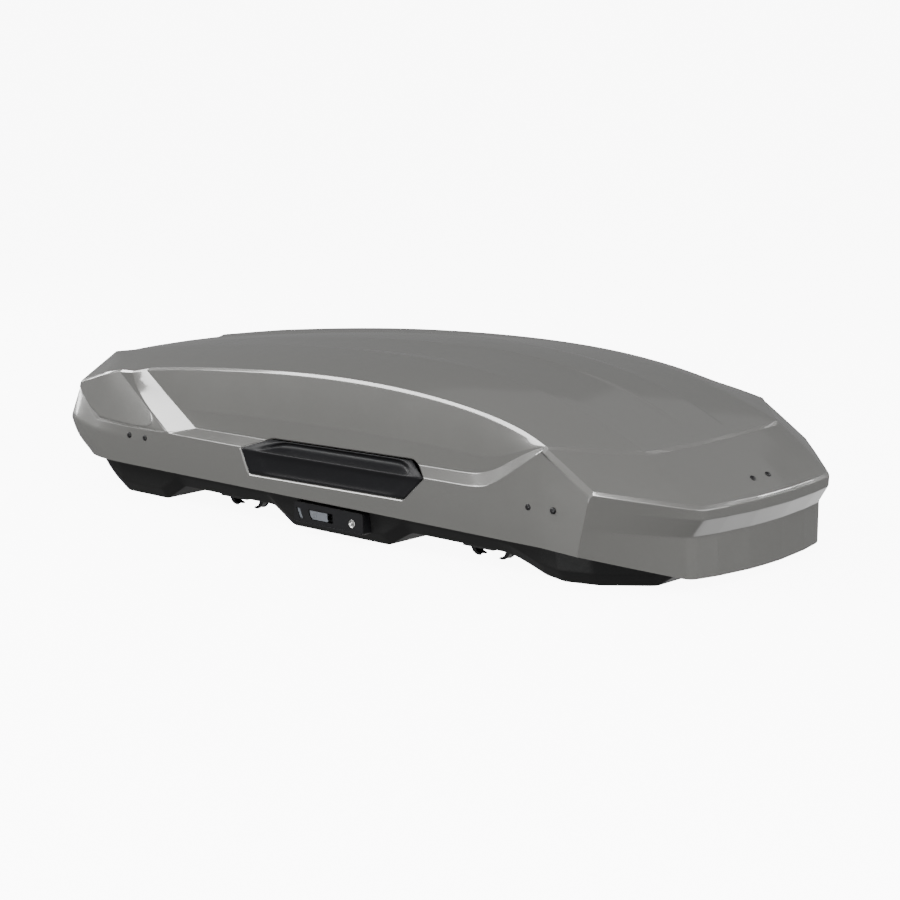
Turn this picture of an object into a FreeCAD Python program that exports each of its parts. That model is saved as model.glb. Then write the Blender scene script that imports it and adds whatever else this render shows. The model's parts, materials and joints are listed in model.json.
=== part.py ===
import FreeCAD, Part
import math
import os
from FreeCAD import Vector

# Roof cargo box that opens from both sides.
# Frame: +X is the nose, -Y the side with the first lock, +Z is up, millimetres.
# The origin is under the middle of the box, level with the bottoms of its three moulded pods.

# ---------------------------------------------------------------- driving dimensions
LID_WALL = 3.2
TRAY_WALL = 4.0
RIM_Z = 108.0
LID_SIDE_Y = 449.0
GRIP_OUTER_Y = 456.5

AXIS_Y = 436.0
AXIS_Z = 112.0
PIN_R = 3.0
EYE_R = 6.5
RUNNING_FIT = 0.06
RAIL_X = (-690.0, 610.0)
EYE_X = (-640.0, -210.0, 170.0, 560.0)
HOOK_X = (-560.0, -130.0, 250.0, 480.0)
EYE_LENGTH = 24.0
PLATE_THICKNESS = 4.0
PEG_X = (-330.0, 380.0)
STRAP_X = (-300.0, 325.0)

STAY_X = (-720.0, 640.0)
STAY_PIVOT = (-416.0, 134.0)
STAY_LENGTH = 800.0
STAY_EXTRA = 0.10
OPEN_ANGLE = 50.0
STAY_THICKNESS = 4.0
STAY_OFFSET = 9.0

CLAMP_X = (-415.0, 460.0)
CLAMP_Y = 318.0
JAW_PIVOT_X = 54.0
JAW_PIVOT_Z = 62.0
JAW_WIDTH = 26.0
JAW_PIN_R = 4.0
JAW_PIN_RISE = 8.0
CLAMP_HALF_X = 70.0
CLAMP_HALF_Y = 38.0
CLAMP_TOP = 96.0
JAW_CHANNEL_HALF = 14.5
KNOB_R = 34.0
KNOB_Z = (96.4, 118.0)
KNOB_NOTCHES = 10
KNOB_NOTCH_R = 6.0
SCREW_R = 6.04
FLOOR_TOP = 56.0
RAIL_BOTTOM = 48.5
RAIL_HALF = 150.0
RAIL_TIE = 12.0

LOCK_X = (-118.0, 128.0)
LOCK_Z = (28.0, 84.0)
LOCK_OUTER_Y = 442.0
LOCK_INNER_Y = 398.0
LOCK_FRONT_WALL = 12.0
LOCK_WALL = 3.0
SLIDE_WAY = (-66.0, 22.0, 42.0, 68.0)
SLIDER_FACE = (-62.0, 0.0, 44.0, 66.0)
SLIDER_RIBS_X = (-52.0, -46.0, -40.0)
WINDOW = (-110.0, -88.0, 40.0, 68.0)
KEY_X = 89.0
KEY_Z = 53.0
KEY_R = 11.0
STEM_X = (-36.0, -26.0)
STEM_Z = (50.0, 60.0)
STEM_PLAY_X = 4.0
LATCH_TRAVEL = 22.0
LATCH_BAR_Y = (-403.0, -399.0)
LATCH_BAR_Z = (90.0, 104.0)
LATCH_PLAY = 0.3

# Feature lines of the lid from its bottom edge to its centre line: (x, half width, z) at each station.
LID_STATIONS = [
    [(-1022, 296, 104), (-1074, 300, 189), (-1075, 298, 238), (-1076, 286, 285),
     (-1071, 212, 348), (-1071, 190, 344), (-1073, 0, 346)],
    [(-968, 402, 98), (-1040, 399, 189), (-1034, 394, 240), (-1010, 366, 305),
     (-960, 203, 366), (-960, 182, 361), (-960, 0, 366)],
    [(-870, 446, 96), (-905, 443, 194), (-900, 438, 236), (-866, 392, 332),
     (-850, 200, 384), (-850, 179, 378), (-850, 0, 386)],
    [(-740, 447, 96), (-700, 449, 199), (-690, 446, 216), (-740, 412, 352),
     (-729, 200, 400), (-729, 179, 394), (-729, 0, 404)],
    [(-547, 447, 96), (-547, 449, 202), (-505, 428, 224), (-487, 406, 382),
     (-489, 200, 428), (-489, 179, 422), (-489, 0, 436)],
    [(-280, 447, 96), (-280, 449, 204), (-270, 428, 227), (-302, 402, 398),
     (-250, 207, 449), (-250, 186, 444), (-250, 0, 463)],
    [(0, 447, 96), (0, 449, 207), (0, 428, 231), (0, 400, 413),
     (0, 212, 460), (0, 191, 458), (0, 0, 481)],
    [(200, 447, 96), (200, 449, 209), (200, 428, 234), (200, 401, 411),
     (200, 224, 463), (200, 200, 463), (200, 0, 485)],
    [(380, 447, 96), (380, 449, 211), (360, 428, 236), (378, 404, 400),
     (380, 250, 456), (380, 224, 458), (380, 0, 474)],
    [(537, 447, 96), (537, 449, 211), (514, 430, 240), (534, 408, 377),
     (551, 250, 430), (551, 224, 433), (551, 0, 450)],
    [(640, 447, 96), (640, 449, 268), (630, 442, 296), (640, 415, 350),
     (650, 256, 408), (650, 229, 411), (650, 0, 428)],
    [(725, 447, 96), (735, 448, 322), (730, 440, 331), (725, 430, 336),
     (750, 262, 379), (750, 234, 381), (750, 0, 398)],
    [(837, 445, 96), (854, 442, 170), (863, 440, 208), (871, 437, 245),
     (898, 272, 324), (902, 240, 324), (913, 0, 324)],
    [(1031, 268, 38), (1046, 267, 100), (1056, 266, 150), (1067, 264, 210),
     (1069, 250, 210), (1070, 230, 210), (1076, 0, 208)],
]

# Tray stations: (x, half width at the rim, height of the outer bottom).
TRAY_STATIONS = [
    (-985, 296, 90), (-930, 370, 82), (-862, 414, 39), (-796, 424, 0), (-643, 424, 0),
    (-582, 424, 22), (-541, 424, 44), (-232, 424, 44), (-152, 424, 0), (209, 424, 0),
    (288, 424, 44), (553, 424, 44), (601, 424, 38), (697, 424, 10), (744, 420, 0),
    (830, 396, 0), (930, 298, 0), (1008, 232, 62),
]
TRAY_EDGE_IN = 58.0
TRAY_CHAMFER_IN = 15.0
TRAY_CHAMFER_UP = 30.0

SIDES = (("near", -1), ("far", 1))
os.makedirs("parts", exist_ok=True)


# ---------------------------------------------------------------- helpers
def block(x0, x1, y0, y1, z0, z1):
    """A box between two corners, whichever way round they are given."""
    low = Vector(min(x0, x1), min(y0, y1), min(z0, z1))
    return Part.makeBox(abs(x1 - x0), abs(y1 - y0), abs(z1 - z0), low)


def rod_x(x0, x1, y, z, radius):
    return Part.makeCylinder(radius, x1 - x0, Vector(x0, y, z), Vector(1, 0, 0))


def rod_y(x, y0, y1, z, radius):
    return Part.makeCylinder(radius, abs(y1 - y0), Vector(x, min(y0, y1), z), Vector(0, 1, 0))


def rod_z(x, y, z0, z1, radius):
    return Part.makeCylinder(radius, z1 - z0, Vector(x, y, z0), Vector(0, 0, 1))


def plate_yz(x0, thickness, outline):
    """A plate of the given (y, z) outline, thick along X."""
    points = [Vector(x0, y, z) for y, z in outline]
    face = Part.Face(Part.makePolygon(points + points[:1]))
    return face.extrude(Vector(thickness, 0, 0))


def plate_xz(y0, thickness, outline):
    points = [Vector(x, y0, z) for x, z in outline]
    face = Part.Face(Part.makePolygon(points + points[:1]))
    return face.extrude(Vector(0, thickness, 0))


def fuse(shapes):
    whole = shapes[0]
    if len(shapes) > 1:
        whole = shapes[0].multiFuse(shapes[1:])
    return whole.removeSplitter()


def far_side(shape):
    """The mirror image of a near-side shape on the far side."""
    return shape.mirror(Vector(0, 0, 0), Vector(0, 1, 0))


def save(node, shapes):
    solids = []
    for shape in (shapes if isinstance(shapes, list) else [shapes]):
        solids += shape.Solids
    for solid in solids:
        assert solid.isValid() and solid.Volume > 0, node
    Part.makeCompound(solids).exportStep("parts/%s.step" % node)


def grid_shell(rows, centres, wall):
    """A thin shell whose outside is a net of stations, closed at both ends and open along its rim.

    Each row runs from the near rim over the body to the far rim. centres are the middle
    points of the two end faces. The inside is the same net moved in by the wall."""
    width = len(rows[0])
    middle = (width - 1) // 2
    points = [Vector(*p) for row in rows for p in row] + [Vector(*c) for c in centres]
    triangles = []
    for i in range(len(rows) - 1):
        for j in range(width - 1):
            a, b = i * width + j, i * width + j + 1
            c, d = a + width, b + width
            if j < middle:
                triangles += [(a, c, d), (a, d, b)]
            else:
                triangles += [(a, c, b), (b, c, d)]
    last = (len(rows) - 1) * width
    for start, centre, turn in ((0, len(points) - 2, 1), (last, len(points) - 1, -1)):
        for j in range(width):
            edge = (start + j, start + (j + 1) % width, centre)
            triangles.append(edge[::turn])
    normals = [Vector(0, 0, 0) for _ in points]
    for a, b, c in triangles:
        n = (points[b] - points[a]).cross(points[c] - points[a])
        for k in (a, b, c):
            normals[k] = normals[k] + n
    rim = {i * width + j for i in range(len(rows)) for j in (0, width - 1)}
    for k in rim:
        normals[k] = Vector(normals[k].x, normals[k].y, 0)
    inner = [p - n.normalize() * wall for p, n in zip(points, normals)]
    offset = len(points)
    faces = triangles + [(c + offset, b + offset, a + offset) for a, b, c in triangles]
    loop = [i * width for i in range(len(rows))]
    loop += [i * width + width - 1 for i in reversed(range(len(rows)))]
    for k, a in enumerate(loop):
        b = loop[(k + 1) % len(loop)]
        faces += [(b, a, a + offset), (b, a + offset, b + offset)]
    everything = points + inner
    skins = []
    for a, b, c in faces:
        corners = [everything[a], everything[b], everything[c]]
        skins.append(Part.Face(Part.makePolygon(corners + corners[:1])))
    shell = Part.makeShell(skins)
    shell.sewShape()
    solid = Part.makeSolid(shell)
    if solid.Volume < 0:
        solid.reverse()
    return solid


# ---------------------------------------------------------------- lid
def make_lid_shell():
    rows = []
    for station in LID_STATIONS:
        near = [(x, -y, z) for x, y, z in station]
        rows.append(near + [(x, y, z) for x, y, z in reversed(station[:-1])])
    return grid_shell(rows, [(-1076, 0, 240), (1058, 0, 140)], LID_WALL)


def make_grip():
    outline = [(-305, 200), (-210, 232), (288, 244), (345, 211), (277, 146), (-276, 135)]
    body = plate_xz(-GRIP_OUTER_Y, GRIP_OUTER_Y - LID_SIDE_Y - 0.3, outline)
    scoop_outline = [(-235, 222), (275, 233), (290, 226), (-250, 214)]
    return body.cut(plate_xz(-GRIP_OUTER_Y - 1, 6, scoop_outline))


RIVETS_NEAR = [(-747, 178), (-683, 178), (686, 188), (763, 190)]


def make_rivets():
    """Domed caps of the screws that hold the hinge rails and the nose stiffener to the lid."""
    caps = []
    for x, z in RIVETS_NEAR:
        cap = rod_y(x, -LID_SIDE_Y - 4.2, -LID_SIDE_Y - 0.2, z, 8.0)
        caps += [cap, far_side(cap)]
    slope = math.atan2(324 - 208, 1076 - 913)
    normal = Vector(math.sin(slope), 0, math.cos(slope))
    for y in (-31.0, 31.0):
        start = Vector(1038.0, y, 235.4) + normal * 1.5
        caps.append(Part.makeCylinder(8.0, 4.0, start, normal))
    return caps


def make_lid_frame():
    """Two long stiffeners bonded inside the lid just above the hinge rails."""
    bar = block(-640, 620, -444, -434, 150, 172).cut(block(-636, 616, -441, -433, 153, 169))
    return [bar, far_side(bar)]


def make_lid_hinge_pins():
    """Brackets on the lid whose pins turn in the eyes of the near rail."""
    brackets = []
    for x in EYE_X:
        half = EYE_LENGTH / 2 + 1.0
        pin = rod_x(x - half - PLATE_THICKNESS, x + half + PLATE_THICKNESS, -AXIS_Y, AXIS_Z, PIN_R)
        plates = []
        for x0 in (x - half - PLATE_THICKNESS, x + half):
            plates.append(rod_x(x0, x0 + PLATE_THICKNESS, -AXIS_Y, AXIS_Z, EYE_R))
            plates.append(block(x0, x0 + PLATE_THICKNESS, -443.6, -AXIS_Y, AXIS_Z - 5.5, AXIS_Z + 5.5))
        brackets.append(fuse([pin] + plates))
    return brackets


# ---------------------------------------------------------------- hinge rails and base pins
def make_rail():
    """A near hinge rail: a steel strip, closed eyes for the lid and open hooks for the base pins."""
    strip = block(RAIL_X[0], RAIL_X[1], -AXIS_Y - 3, -AXIS_Y + 3, AXIS_Z + 9, AXIS_Z + 27)
    pieces = [strip]
    for x in EYE_X + HOOK_X:
        x0, x1 = x - EYE_LENGTH / 2, x + EYE_LENGTH / 2
        pieces.append(rod_x(x0, x1, -AXIS_Y, AXIS_Z, EYE_R))
        pieces.append(block(x0, x1, -AXIS_Y - 3, -AXIS_Y + 3, AXIS_Z + 3, AXIS_Z + 12))
    for x in PEG_X:
        pieces.append(rod_y(x, -AXIS_Y, -402.0, AXIS_Z + 18, 4.0))
    rail = fuse(pieces)
    for x in EYE_X + HOOK_X:
        x0, x1 = x - EYE_LENGTH / 2 - 1, x + EYE_LENGTH / 2 + 1
        rail = rail.cut(rod_x(x0, x1, -AXIS_Y, AXIS_Z, PIN_R + RUNNING_FIT))
    for x in HOOK_X:
        x0, x1 = x - EYE_LENGTH / 2 - 1, x + EYE_LENGTH / 2 + 1
        gap = PIN_R + 0.5
        rail = rail.cut(block(x0, x1, -AXIS_Y - gap, -AXIS_Y + gap, AXIS_Z - 10, AXIS_Z))
    return rail


def make_base_pins():
    """Brackets on the tray's near wall with the pins that the rail hooks drop on."""
    brackets = []
    for x in HOOK_X:
        half = EYE_LENGTH / 2 + 1.0
        pin = rod_x(x - half - PLATE_THICKNESS, x + half + PLATE_THICKNESS, -AXIS_Y, AXIS_Z, PIN_R)
        plates = []
        for x0 in (x - half - PLATE_THICKNESS, x + half):
            x1 = x0 + PLATE_THICKNESS
            plates.append(rod_x(x0, x1, -AXIS_Y, AXIS_Z, EYE_R))
            plates.append(block(x0, x1, -AXIS_Y, -418.0, AXIS_Z - 3.0, AXIS_Z + 5.5))
        foot = block(x - half - PLATE_THICKNESS, x + half + PLATE_THICKNESS, -426.0, -418.0,
                     RIM_Z + 0.2, RIM_Z + 3.0)
        brackets.append(fuse([pin, foot] + plates))
    return brackets


# ---------------------------------------------------------------- lid stays
def stay_pin(theta_degrees):
    """Where the stay's free pin is, in (y, z), when the lid has lifted by the angle."""
    theta = math.radians(theta_degrees)
    y, z = STAY_PIVOT[0] - AXIS_Y, STAY_PIVOT[1] - AXIS_Z
    pivot_y = AXIS_Y + y * math.cos(theta) + z * math.sin(theta)
    pivot_z = AXIS_Z - y * math.sin(theta) + z * math.cos(theta)
    turn = (1 + STAY_EXTRA) * theta
    return pivot_y + STAY_LENGTH * math.cos(turn), pivot_z - STAY_LENGTH * math.sin(turn)


def make_stay(x):
    """A flat arm from the near rail to its slot beside the far rim; the free pin points to +X."""
    y0, z = STAY_PIVOT
    y1 = y0 + STAY_LENGTH
    arm = [block(x, x + STAY_THICKNESS, y0, y1, z - 7, z + 7)]
    for y in (y0, y1):
        arm.append(rod_x(x, x + STAY_THICKNESS, y, z, 9.0))
    arm.append(rod_x(x, x + STAY_THICKNESS + 9.0, y1, z, 4.0))
    hole = rod_x(x - 1, x + STAY_THICKNESS + 1, y0, z, PIN_R + RUNNING_FIT)
    return fuse(arm).cut(hole)


def make_stay_pivot(x):
    """The bracket on the hinge rail that carries the stay's fixed pin."""
    y, z = STAY_PIVOT
    lug = fuse([rod_x(x - 7, x - 3, y, z, 9.0),
                block(x - 7, x - 3, -AXIS_Y + 3, y, z - 6, z + 6),
                block(x - 34, x - 3, -AXIS_Y + 3.2, -AXIS_Y + 6, AXIS_Z + 10, AXIS_Z + 26)])
    return fuse([lug, rod_x(x - 7, x + STAY_THICKNESS + 1.5, y, z, PIN_R)])


def slot_cutter(x, radius):
    """The space the stay's free pin sweeps, as a chain of short straight runs."""
    steps = [stay_pin(OPEN_ANGLE * k / 8.0) for k in range(9)]
    pieces = []
    for (ya, za), (yb, zb) in zip(steps, steps[1:]):
        run = math.hypot(yb - ya, zb - za)
        ny, nz = -(zb - za) / run * radius, (yb - ya) / run * radius
        corners = [(ya + ny, za + nz), (yb + ny, zb + nz), (yb - ny, zb - nz), (ya - ny, za - nz)]
        pieces.append(plate_yz(x, 6.0, corners))
    for y, z in steps:
        pieces.append(rod_x(x, x + 6.0, y, z, radius))
    return fuse(pieces)


def guide_plate(x, on_tray):
    """A slotted plate beside the far rim; the slot follows the stay pin."""
    ys = [stay_pin(a)[0] for a in (0, 25, 50)]
    zs = [stay_pin(a)[1] for a in (0, 25, 50)]
    y0, y1 = min(ys) - 14, max(ys) + 14
    z0, z1 = min(zs) - 14, max(zs) + 14
    pieces = [block(x, x + 3, y0, y1, z0, z1)]
    if on_tray:
        pieces.append(block(x, x + 3, y1 - 10, 423.5, RIM_Z + 0.2, RIM_Z + 12))
        pieces.append(block(x, x + 15, 411, 423.5, RIM_Z + 0.2, RIM_Z + 3.2))
    else:
        pieces.append(block(x, x + 3, y1 - 10, AXIS_Y - 3.2, AXIS_Z + 10, AXIS_Z + 26))
    return fuse(pieces).cut(slot_cutter(x - 1, 5.2))


# ---------------------------------------------------------------- tray
def make_tray():
    rows = []
    for x, half, bottom in TRAY_STATIONS:
        shoulder = min(bottom + TRAY_CHAMFER_UP, RIM_Z - 6)
        half_row = [(x, -half, RIM_Z), (x, -half + TRAY_CHAMFER_IN, shoulder),
                    (x, -half + TRAY_EDGE_IN, bottom), (x, 0, bottom)]
        rows.append(half_row + [(x, -y, z) for x, y, z in reversed(half_row[:-1])])
    flipped = [list(reversed(row)) for row in rows]
    tray = grid_shell(flipped, [(-985, 0, 98), (1008, 0, 85)], TRAY_WALL)
    cutters = []
    for x in CLAMP_X:
        for side in (-1, 1):
            y = side * CLAMP_Y
            cutters.append(block(x - 128, x + 128, y - 17, y + 17, 20, 60))
    for side in (-1, 1):
        cutters.append(block(LOCK_X[0] - 1, LOCK_X[1] + 1, side * 380, side * 450, LOCK_Z[0] - 1,
                             LOCK_Z[1] + 1))
    return tray.cut(Part.makeCompound(cutters))


def make_floor_rails():
    """Two steel frames under the near clamps, each a pair of rails joined at both ends."""
    frames = []
    for x in CLAMP_X:
        pieces = []
        for y in (-CLAMP_Y - 30, -CLAMP_Y + 30):
            pieces.append(block(x - RAIL_HALF, x + RAIL_HALF, y - 10, y + 10, RAIL_BOTTOM, FLOOR_TOP))
        for x0 in (x - RAIL_HALF, x + RAIL_HALF - RAIL_TIE):
            pieces.append(block(x0, x0 + RAIL_TIE, -CLAMP_Y - 40, -CLAMP_Y + 40, RAIL_BOTTOM, FLOOR_TOP))
        frames.append(fuse(pieces))
    return frames


def make_crossbar_pads():
    """Rubber pads under the tray that rest on the crossbars, two beside each clamp."""
    pads = []
    for x in CLAMP_X:
        for y0, y1 in ((-CLAMP_Y - 58, -CLAMP_Y - 22), (-CLAMP_Y + 22, -CLAMP_Y + 58)):
            pad = block(x - 50, x + 50, y0, y1, 38.0, 43.8)
            pads += [pad, far_side(pad)]
    return pads


def make_strap_anchors():
    """Slotted plates on the tray floor for luggage straps."""
    anchors = []
    for x in STRAP_X:
        plate = block(x - 30, x + 30, -240, -205, 50.3, 53.3)
        loop = block(x - 24, x + 24, -226, -222, 53.3, 76.0).cut(block(x - 18, x + 18, -227, -221, 58, 71))
        anchor = fuse([plate, loop])
        anchors += [anchor, far_side(anchor)]
    return anchors


# ---------------------------------------------------------------- crossbar clamps
def make_clamp_body(x, y):
    """The housing that bridges the slot, carries both jaws and the tightening screw."""
    half_x, half_y, channel = CLAMP_HALF_X, CLAMP_HALF_Y, JAW_CHANNEL_HALF
    shell = block(x - half_x, x + half_x, y - half_y, y + half_y, FLOOR_TOP + 0.3, CLAMP_TOP)
    cavity = block(x - half_x + 6, x + half_x - 6, y - channel, y + channel, FLOOR_TOP - 6, CLAMP_TOP - 6)
    mouth = block(x - half_x - 2, x + half_x + 2, y - channel, y + channel, FLOOR_TOP - 6, CLAMP_TOP - 18)
    screw_bore = rod_z(x, y, CLAMP_TOP - 7, CLAMP_TOP + 1, SCREW_R + RUNNING_FIT)
    shell = shell.cut(cavity).cut(mouth).cut(screw_bore)
    pins = []
    for s in (-1, 1):
        pins.append(rod_y(x + s * JAW_PIVOT_X, y - channel - 1.5, y + channel + 1.5,
                          JAW_PIVOT_Z + JAW_PIN_RISE, JAW_PIN_R))
    return fuse([shell] + pins)


def make_knob(x, y):
    """The round tightening knob with its screw and drive boss."""
    low, high = KNOB_Z
    grip = rod_z(x, y, low, high, KNOB_R)
    reach = KNOB_R + 3
    notches = []
    for k in range(KNOB_NOTCHES):
        angle = 2 * math.pi * k / KNOB_NOTCHES
        notches.append(rod_z(x + reach * math.cos(angle), y + reach * math.sin(angle), low - 1, high + 1,
                             KNOB_NOTCH_R))
    handle = block(x - KNOB_R + 4, x + KNOB_R - 4, y - 6, y + 6, high, high + 12)
    screw = rod_z(x, y, CLAMP_TOP - 22, CLAMP_TOP + 1, SCREW_R)
    return fuse([grip.cut(Part.makeCompound(notches)), handle, screw])


def make_jaw(x, y, side):
    """A claw jaw hanging through the slot; side +1 closes against the bar from the front."""
    px, pz = x + side * JAW_PIVOT_X, JAW_PIVOT_Z + JAW_PIN_RISE
    s = side
    outline = [(px - s * 8, pz - 8), (px + s * 10, pz - 6), (px + s * 7, 22), (px - s * 4, 8),
               (px - s * 24, 6), (px - s * 24, 11), (px - s * 12, 15), (px - s * 11, 30)]
    claw = plate_xz(y - JAW_WIDTH / 2, JAW_WIDTH, outline)
    jaw = fuse([claw, rod_y(px, y - JAW_WIDTH / 2, y + JAW_WIDTH / 2, pz, 10.0)])
    return jaw.cut(rod_y(px, y - JAW_WIDTH, y + JAW_WIDTH, pz, JAW_PIN_R + RUNNING_FIT))


# ---------------------------------------------------------------- lock on one side
def make_lock_housing():
    outer = block(LOCK_X[0], LOCK_X[1], -LOCK_OUTER_Y, -LOCK_INNER_Y, LOCK_Z[0], LOCK_Z[1])
    inside = block(LOCK_X[0] + LOCK_WALL, LOCK_X[1] - LOCK_WALL, -LOCK_OUTER_Y + LOCK_FRONT_WALL,
                   -LOCK_INNER_Y + 1, LOCK_Z[0] + LOCK_WALL, LOCK_Z[1] - LOCK_WALL)
    front, behind = -LOCK_OUTER_Y - 1, -LOCK_OUTER_Y + LOCK_FRONT_WALL + 1
    cutters = [inside, rod_y(KEY_X, front, behind, KEY_Z, KEY_R + RUNNING_FIT)]
    for x0, x1, z0, z1 in (SLIDE_WAY, WINDOW):
        cutters.append(block(x0, x1, front, behind, z0, z1))
    cutters.append(block(STEM_X[0] - STEM_PLAY_X, STEM_X[1] + LATCH_TRAVEL, LATCH_BAR_Y[0] - 2,
                         LATCH_BAR_Y[1] + 2, STEM_Z[1], LOCK_Z[1] + 1))
    return outer.cut(Part.makeCompound(cutters))


def make_slider():
    x0, x1, z0, z1 = SLIDER_FACE
    pieces = [block(x0, x1, -LOCK_OUTER_Y + 1, -LOCK_OUTER_Y + 5, z0, z1)]
    pieces.append(block(STEM_X[0], STEM_X[1], -LOCK_OUTER_Y + 4, LATCH_BAR_Y[0] - 0.2, *STEM_Z))
    for x in SLIDER_RIBS_X:
        pieces.append(block(x, x + 2, -LOCK_OUTER_Y, -LOCK_OUTER_Y + 1.5, z0 + 2, z1 - 2))
    return fuse(pieces)


def make_key_cylinder():
    barrel = rod_y(KEY_X, -LOCK_OUTER_Y - 0.5, -LOCK_OUTER_Y + 26, KEY_Z, KEY_R)
    keyway = block(KEY_X - 1.2, KEY_X + 1.2, -LOCK_OUTER_Y - 2, -LOCK_OUTER_Y + 9, KEY_Z - 6, KEY_Z + 6)
    return barrel.cut(keyway)


def make_indicator():
    """The flag behind the window that shows whether the latches are home."""
    y0 = -LOCK_OUTER_Y + LOCK_FRONT_WALL + 1.5
    y1 = y0 + 1.5
    x0, x1, z0, z1 = WINDOW
    flag = block(x0 - 2, x1 - 0.5, y0, y1, z0 - 2, z1 + 2)
    return fuse([flag, block(x1 - 2, STEM_X[0] - 0.2, y0, y1, STEM_Z[0] + 1, STEM_Z[1] - 1)])


def make_latch_bar():
    """The long bar inside the tray that carries one hook for each rail peg."""
    y0, y1 = LATCH_BAR_Y
    bar = [block(PEG_X[0] - 60, PEG_X[1] + 20, y0, y1, *LATCH_BAR_Z)]
    for x in PEG_X:
        bar.append(plate_xz(y0, y1 - y0, [(x - 38, 100), (x - 22, 100), (x - 22, 138),
                                          (x - 6, 138), (x - 6, 146), (x - 38, 146)]))
    bar.append(block(STEM_X[0], STEM_X[1], y0, y1, STEM_Z[0], LATCH_BAR_Z[0] + 2))
    return fuse(bar)


def make_latch_guides():
    """Brackets on the tray wall that the latch bar runs in."""
    guides = []
    for x in (PEG_X[0] + 60, -70.0, PEG_X[1] - 60):
        post = block(x, x + 14, LATCH_BAR_Y[0] - 4, LATCH_BAR_Y[1] + 4, 86, RIM_Z + 3)
        foot = block(x, x + 14, -423.5, LATCH_BAR_Y[0] - 4, RIM_Z + 0.2, RIM_Z + 3)
        channel = block(x - 1, x + 15, LATCH_BAR_Y[0] - LATCH_PLAY, LATCH_BAR_Y[1] + LATCH_PLAY,
                        LATCH_BAR_Z[0] - LATCH_PLAY, LATCH_BAR_Z[1] + LATCH_PLAY)
        guides.append(fuse([post, foot]).cut(channel))
    return guides


def both(name, near_shapes):
    shapes = near_shapes if isinstance(near_shapes, list) else [near_shapes]
    save(name + "_near", shapes)
    save(name + "_far", [far_side(shape) for shape in shapes])


# ---------------------------------------------------------------- the assembly
def build():
    save("base_tray", make_tray())
    both("floor_rails", make_floor_rails())
    save("crossbar_pads", make_crossbar_pads())
    save("strap_anchors", make_strap_anchors())
    both("base_hinge_pins", make_base_pins())
    both("hinge_rail", make_rail())
    both("lock_housing", make_lock_housing())
    both("lock_slider", make_slider())
    both("key_cylinder", make_key_cylinder())
    both("lock_indicator", make_indicator())
    both("latch_bar", make_latch_bar())
    both("latch_guides", make_latch_guides())
    save("lid_shell", make_lid_shell())
    save("lid_stiffeners", make_lid_frame())
    save("lid_rivets", make_rivets())
    both("side_grip", make_grip())
    both("lid_hinge_pins", make_lid_hinge_pins())
    near_arms = STAY_X
    far_arms = [x + 2 * STAY_OFFSET for x in STAY_X]
    both_ends = ("rear", "front")
    for end, x in zip(both_ends, near_arms):
        save("near_stay_" + end, make_stay(x))
    for end, x in zip(both_ends, far_arms):
        save("far_stay_" + end, far_side(make_stay(x)))
    save("stay_pivots_near", [make_stay_pivot(x) for x in near_arms])
    save("stay_pivots_far", [far_side(make_stay_pivot(x)) for x in far_arms])
    guide_gap = STAY_THICKNESS + 2.0
    save("near_stay_guides", [guide_plate(x + guide_gap, True) for x in near_arms])
    save("far_stay_guides", [far_side(guide_plate(x + guide_gap, False)) for x in far_arms])
    for side_name, side in SIDES:
        for end, x in zip(("rear", "front"), CLAMP_X):
            label = "%s_%s" % (end, side_name)
            y = side * CLAMP_Y
            save("clamp_body_" + label, make_clamp_body(x, y))
            save("clamp_knob_" + label, make_knob(x, y))
            save("jaw_front_" + label, make_jaw(x, y, 1))
            save("jaw_rear_" + label, make_jaw(x, y, -1))


build()
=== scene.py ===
import json
import math

import bmesh
import bpy
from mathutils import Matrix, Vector


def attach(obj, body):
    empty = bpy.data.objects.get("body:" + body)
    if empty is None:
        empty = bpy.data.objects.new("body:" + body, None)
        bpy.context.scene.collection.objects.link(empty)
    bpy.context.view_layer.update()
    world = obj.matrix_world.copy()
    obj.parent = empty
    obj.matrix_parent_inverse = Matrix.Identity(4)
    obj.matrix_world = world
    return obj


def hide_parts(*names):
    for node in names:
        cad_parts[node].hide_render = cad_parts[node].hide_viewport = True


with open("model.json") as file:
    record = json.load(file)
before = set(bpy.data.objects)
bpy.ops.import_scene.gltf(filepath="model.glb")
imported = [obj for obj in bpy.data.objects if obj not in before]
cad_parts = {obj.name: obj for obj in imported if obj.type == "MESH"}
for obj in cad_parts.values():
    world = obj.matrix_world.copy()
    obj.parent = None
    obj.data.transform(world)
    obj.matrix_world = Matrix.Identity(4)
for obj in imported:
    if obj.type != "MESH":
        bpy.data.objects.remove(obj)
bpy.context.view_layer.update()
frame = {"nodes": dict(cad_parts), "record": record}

MM = 0.001

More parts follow.
